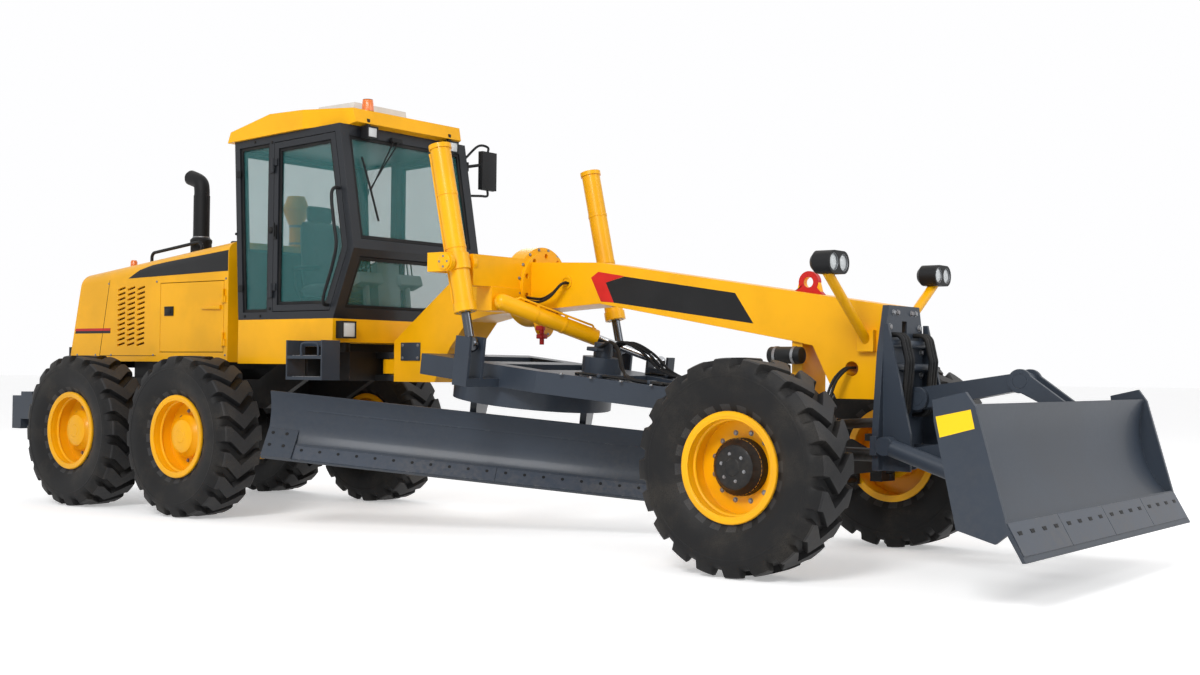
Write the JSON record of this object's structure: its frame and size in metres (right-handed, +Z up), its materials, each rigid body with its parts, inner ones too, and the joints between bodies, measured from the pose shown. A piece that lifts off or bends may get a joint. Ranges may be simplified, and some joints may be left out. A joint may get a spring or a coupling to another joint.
{
  "type": "motor grader",
  "caption": "Articulated motor grader with an angled grading blade under an arched frame, a glazed cab, tandem rear wheels and a front dozer blade",
  "frame": {"origin": "on the ground under the middle of the machine's length and width", "axes": "+X forward, +Y to the driver's left, +Z up"},
  "size_m": [10.47, 2.88, 3.503],
  "materials": {
    "yellow_paint": "semi-gloss machine paint",
    "slate_paint": "satin machine paint",
    "black_paint": "matte black",
    "tinted_glass": "green tint",
    "chromed_rod": "polished",
    "white_plastic": "smooth",
    "seat_cloth": "woven",
    "tyre_rubber": "dusty rubber"
  },
  "bodies": {
    "rear_frame": {"rear_frame": "slate_paint", "tandem_drive": "slate_paint", "rear_beam": "slate_paint", "engine_block": "slate_paint", "hood": "yellow_paint", "exhaust": "black_paint", "air_cleaner": "yellow_paint", "hood_rails": "black_paint", "cab_base": "yellow_paint", "cab_frame": "slate_paint", "cab_roof": "yellow_paint", "cab_glass": "tinted_glass", "roof_unit": "white_plastic", "cab_lamps": "black_paint", "mirror_arm": "black_paint", "steps": "slate_paint", "seat": "seat_cloth", "console": "slate_paint"},
    "front_frame": {"gooseneck": "yellow_paint", "saddle": "yellow_paint", "front_axle": "slate_paint", "dozer_bracket": "slate_paint", "lamp_posts": "yellow_paint", "lamp_pods": "black_paint", "hydraulic_hoses": "black_paint"},
    "engine_door_left": {"engine_door_left": "yellow_paint"},
    "engine_door_right": {"engine_door_right": "yellow_paint"},
    "cab_door_left": {"cab_door_left": "slate_paint", "door_glass_left": "tinted_glass"},
    "cab_door_right": {"cab_door_right": "slate_paint", "door_glass_right": "tinted_glass"},
    "knuckle_left": {"knuckle_left": "slate_paint"},
    "knuckle_right": {"knuckle_right": "slate_paint"},
    "tie_rod": {"tie_rod": "slate_paint"},
    "drawbar": {"drawbar": "slate_paint"},
    "circle": {"circle": "slate_paint", "moldboard": "slate_paint"},
    "lift_barrels": {"lift_barrels": "yellow_paint"},
    "lift_rods": {"lift_rods": "chromed_rod"},
    "shift_barrel": {"shift_barrel": "yellow_paint"},
    "shift_rod": {"shift_rod": "chromed_rod"},
    "dozer_links": {"dozer_links": "slate_paint"},
    "dozer_top_link": {"dozer_top_link": "slate_paint"},
    "dozer_blade": {"dozer_blade": "slate_paint"},
    "ram_barrels": {"ram_barrels": "black_paint"},
    "ram_rods": {"ram_rods": "chromed_rod"},
    "front_left_wheel": {"front_left_rim": "yellow_paint", "front_left_tyre": "tyre_rubber"},
    "front_right_wheel": {"front_right_rim": "yellow_paint", "front_right_tyre": "tyre_rubber"},
    "mid_left_wheel": {"mid_left_rim": "yellow_paint", "mid_left_tyre": "tyre_rubber"},
    "mid_right_wheel": {"mid_right_rim": "yellow_paint", "mid_right_tyre": "tyre_rubber"},
    "rear_left_wheel": {"rear_left_rim": "yellow_paint", "rear_left_tyre": "tyre_rubber"},
    "rear_right_wheel": {"rear_right_rim": "yellow_paint", "rear_right_tyre": "tyre_rubber"}
  },
  "joints": [
    {"name": "articulation", "type": "hinge", "parent": "rear_frame", "child": "front_frame", "pos_m": [-0.855, 0, 1.275], "axis": [0, 0, 1], "range_deg": [-25, 25]},
    {"name": "steer", "type": "hinge", "parent": "front_frame", "child": "knuckle_left", "pos_m": [3.284, 0.85, 0.64], "axis": [0, 0, 1], "range_deg": [-45, 45]},
    {"name": "steer_right", "type": "hinge", "parent": "front_frame", "child": "knuckle_right", "pos_m": [3.284, -0.85, 0.64], "axis": [0, 0, 1], "range_deg": [-45, 45]},
    {"name": "tie_rod_swivel", "type": "hinge", "parent": "knuckle_left", "child": "tie_rod", "pos_m": [3.034, 0.85, 0.64], "axis": [0, 0, 1], "range_deg": [-45, 45]},
    {"name": "blade_lift", "type": "hinge", "parent": "front_frame", "child": "drawbar", "pos_m": [2.965, 0, 0.98], "axis": [0, 1, 0], "range_deg": [-20, 2]},
    {"name": "circle_turn", "type": "hinge", "parent": "drawbar", "child": "circle", "pos_m": [0.67011, 0, 1.15287], "axis": [0.1097, 0, 0.994], "continuous": true},
    {"name": "lift_barrel_tilt", "type": "hinge", "parent": "front_frame", "child": "lift_barrels", "pos_m": [0.696, 0.91, 2.043], "axis": [0, 1, 0], "range_deg": [-1.16, 11.19]},
    {"name": "lift_rod_slide", "type": "slide", "parent": "lift_barrels", "child": "lift_rods", "axis": [0.2215, 0, -0.9751], "range_m": [-0.07646, 0.75557]},
    {"name": "shift_barrel_tilt", "type": "hinge", "parent": "front_frame", "child": "shift_barrel", "pos_m": [0.825, -0.56, 1.765], "axis": [-0.852, 0.5212, 0.0492], "range_deg": [-1.99, 19.42]},
    {"name": "shift_rod_slide", "type": "slide", "parent": "shift_barrel", "child": "shift_rod", "axis": [0.4815, 0.817, -0.3173], "range_m": [-0.02281, 0.21909]},
    {"name": "dozer_lift", "type": "hinge", "parent": "front_frame", "child": "dozer_links", "pos_m": [3.965, 0, 0.72], "axis": [0, -1, 0], "range_deg": [-25, 25]},
    {"name": "dozer_top_swing", "type": "hinge", "parent": "front_frame", "child": "dozer_top_link", "pos_m": [3.965, 0, 1.1], "axis": [0, -1, 0], "range_deg": [-25, 25]},
    {"name": "dozer_level", "type": "hinge", "parent": "dozer_links", "child": "dozer_blade", "pos_m": [4.655, 0, 0.84], "axis": [0, -1, 0], "range_deg": [-25, 25]},
    {"name": "ram_tilt", "type": "hinge", "parent": "front_frame", "child": "ram_barrels", "pos_m": [3.8954, 0, 0.8], "axis": [0, -1, 0], "range_deg": [-17.54, 17.54]},
    {"name": "ram_slide", "type": "slide", "parent": "ram_barrels", "child": "ram_rods", "axis": [0.9519, 0, -0.3065], "range_m": [-0.14435, 0.14435]},
    {"name": "cab_door_left_swing", "type": "hinge", "parent": "rear_frame", "child": "cab_door_left", "pos_m": [-1.58, 0.754, 2.4], "axis": [0, 0, 1], "range_deg": [0, 80]},
    {"name": "engine_door_left_swing", "type": "hinge", "parent": "rear_frame", "child": "engine_door_left", "pos_m": [-2.332, 0.664, 1.7], "axis": [0, 0, -1], "range_deg": [0, 75]},
    {"name": "cab_door_right_swing", "type": "hinge", "parent": "rear_frame", "child": "cab_door_right", "pos_m": [-1.58, -0.754, 2.4], "axis": [0, 0, -1], "range_deg": [0, 80]},
    {"name": "engine_door_right_swing", "type": "hinge", "parent": "rear_frame", "child": "engine_door_right", "pos_m": [-2.332, -0.664, 1.7], "axis": [0, 0, 1], "range_deg": [0, 75]},
    {"name": "front_left_spin", "type": "hinge", "parent": "knuckle_left", "child": "front_left_wheel", "pos_m": [3.284, 1.08, 0.675], "axis": [0, 1, 0], "continuous": true},
    {"name": "front_right_spin", "type": "hinge", "parent": "knuckle_right", "child": "front_right_wheel", "pos_m": [3.284, -1.08, 0.675], "axis": [0, 1, 0], "continuous": true},
    {"name": "mid_left_spin", "type": "hinge", "parent": "rear_frame", "child": "mid_left_wheel", "pos_m": [-2.166, 1.08, 0.675], "axis": [0, 1, 0], "continuous": true},
    {"name": "mid_right_spin", "type": "hinge", "parent": "rear_frame", "child": "mid_right_wheel", "pos_m": [-2.166, -1.08, 0.675], "axis": [0, 1, 0], "continuous": true},
    {"name": "rear_left_spin", "type": "hinge", "parent": "rear_frame", "child": "rear_left_wheel", "pos_m": [-3.704, 1.08, 0.675], "axis": [0, 1, 0], "continuous": true},
    {"name": "rear_right_spin", "type": "hinge", "parent": "rear_frame", "child": "rear_right_wheel", "pos_m": [-3.704, -1.08, 0.675], "axis": [0, 1, 0], "continuous": true}
  ],
  "couplings": [
    {"joint": "steer_right", "follows": "steer", "ratio": 1},
    {"joint": "tie_rod_swivel", "follows": "steer", "ratio": -1},
    {"joint": "lift_barrel_tilt", "follows": "blade_lift", "ratio": -0.54605},
    {"joint": "lift_rod_slide", "follows": "blade_lift", "m_per_rad": -2.1193},
    {"joint": "shift_barrel_tilt", "follows": "blade_lift", "ratio": -0.94954},
    {"joint": "shift_rod_slide", "follows": "blade_lift", "m_per_rad": -0.61254},
    {"joint": "dozer_top_swing", "follows": "dozer_lift", "ratio": 1},
    {"joint": "dozer_level", "follows": "dozer_lift", "ratio": -1},
    {"joint": "ram_tilt", "follows": "dozer_lift", "ratio": 0.68578},
    {"joint": "ram_slide", "follows": "dozer_lift", "m_per_rad": -0.32209}
  ]
}
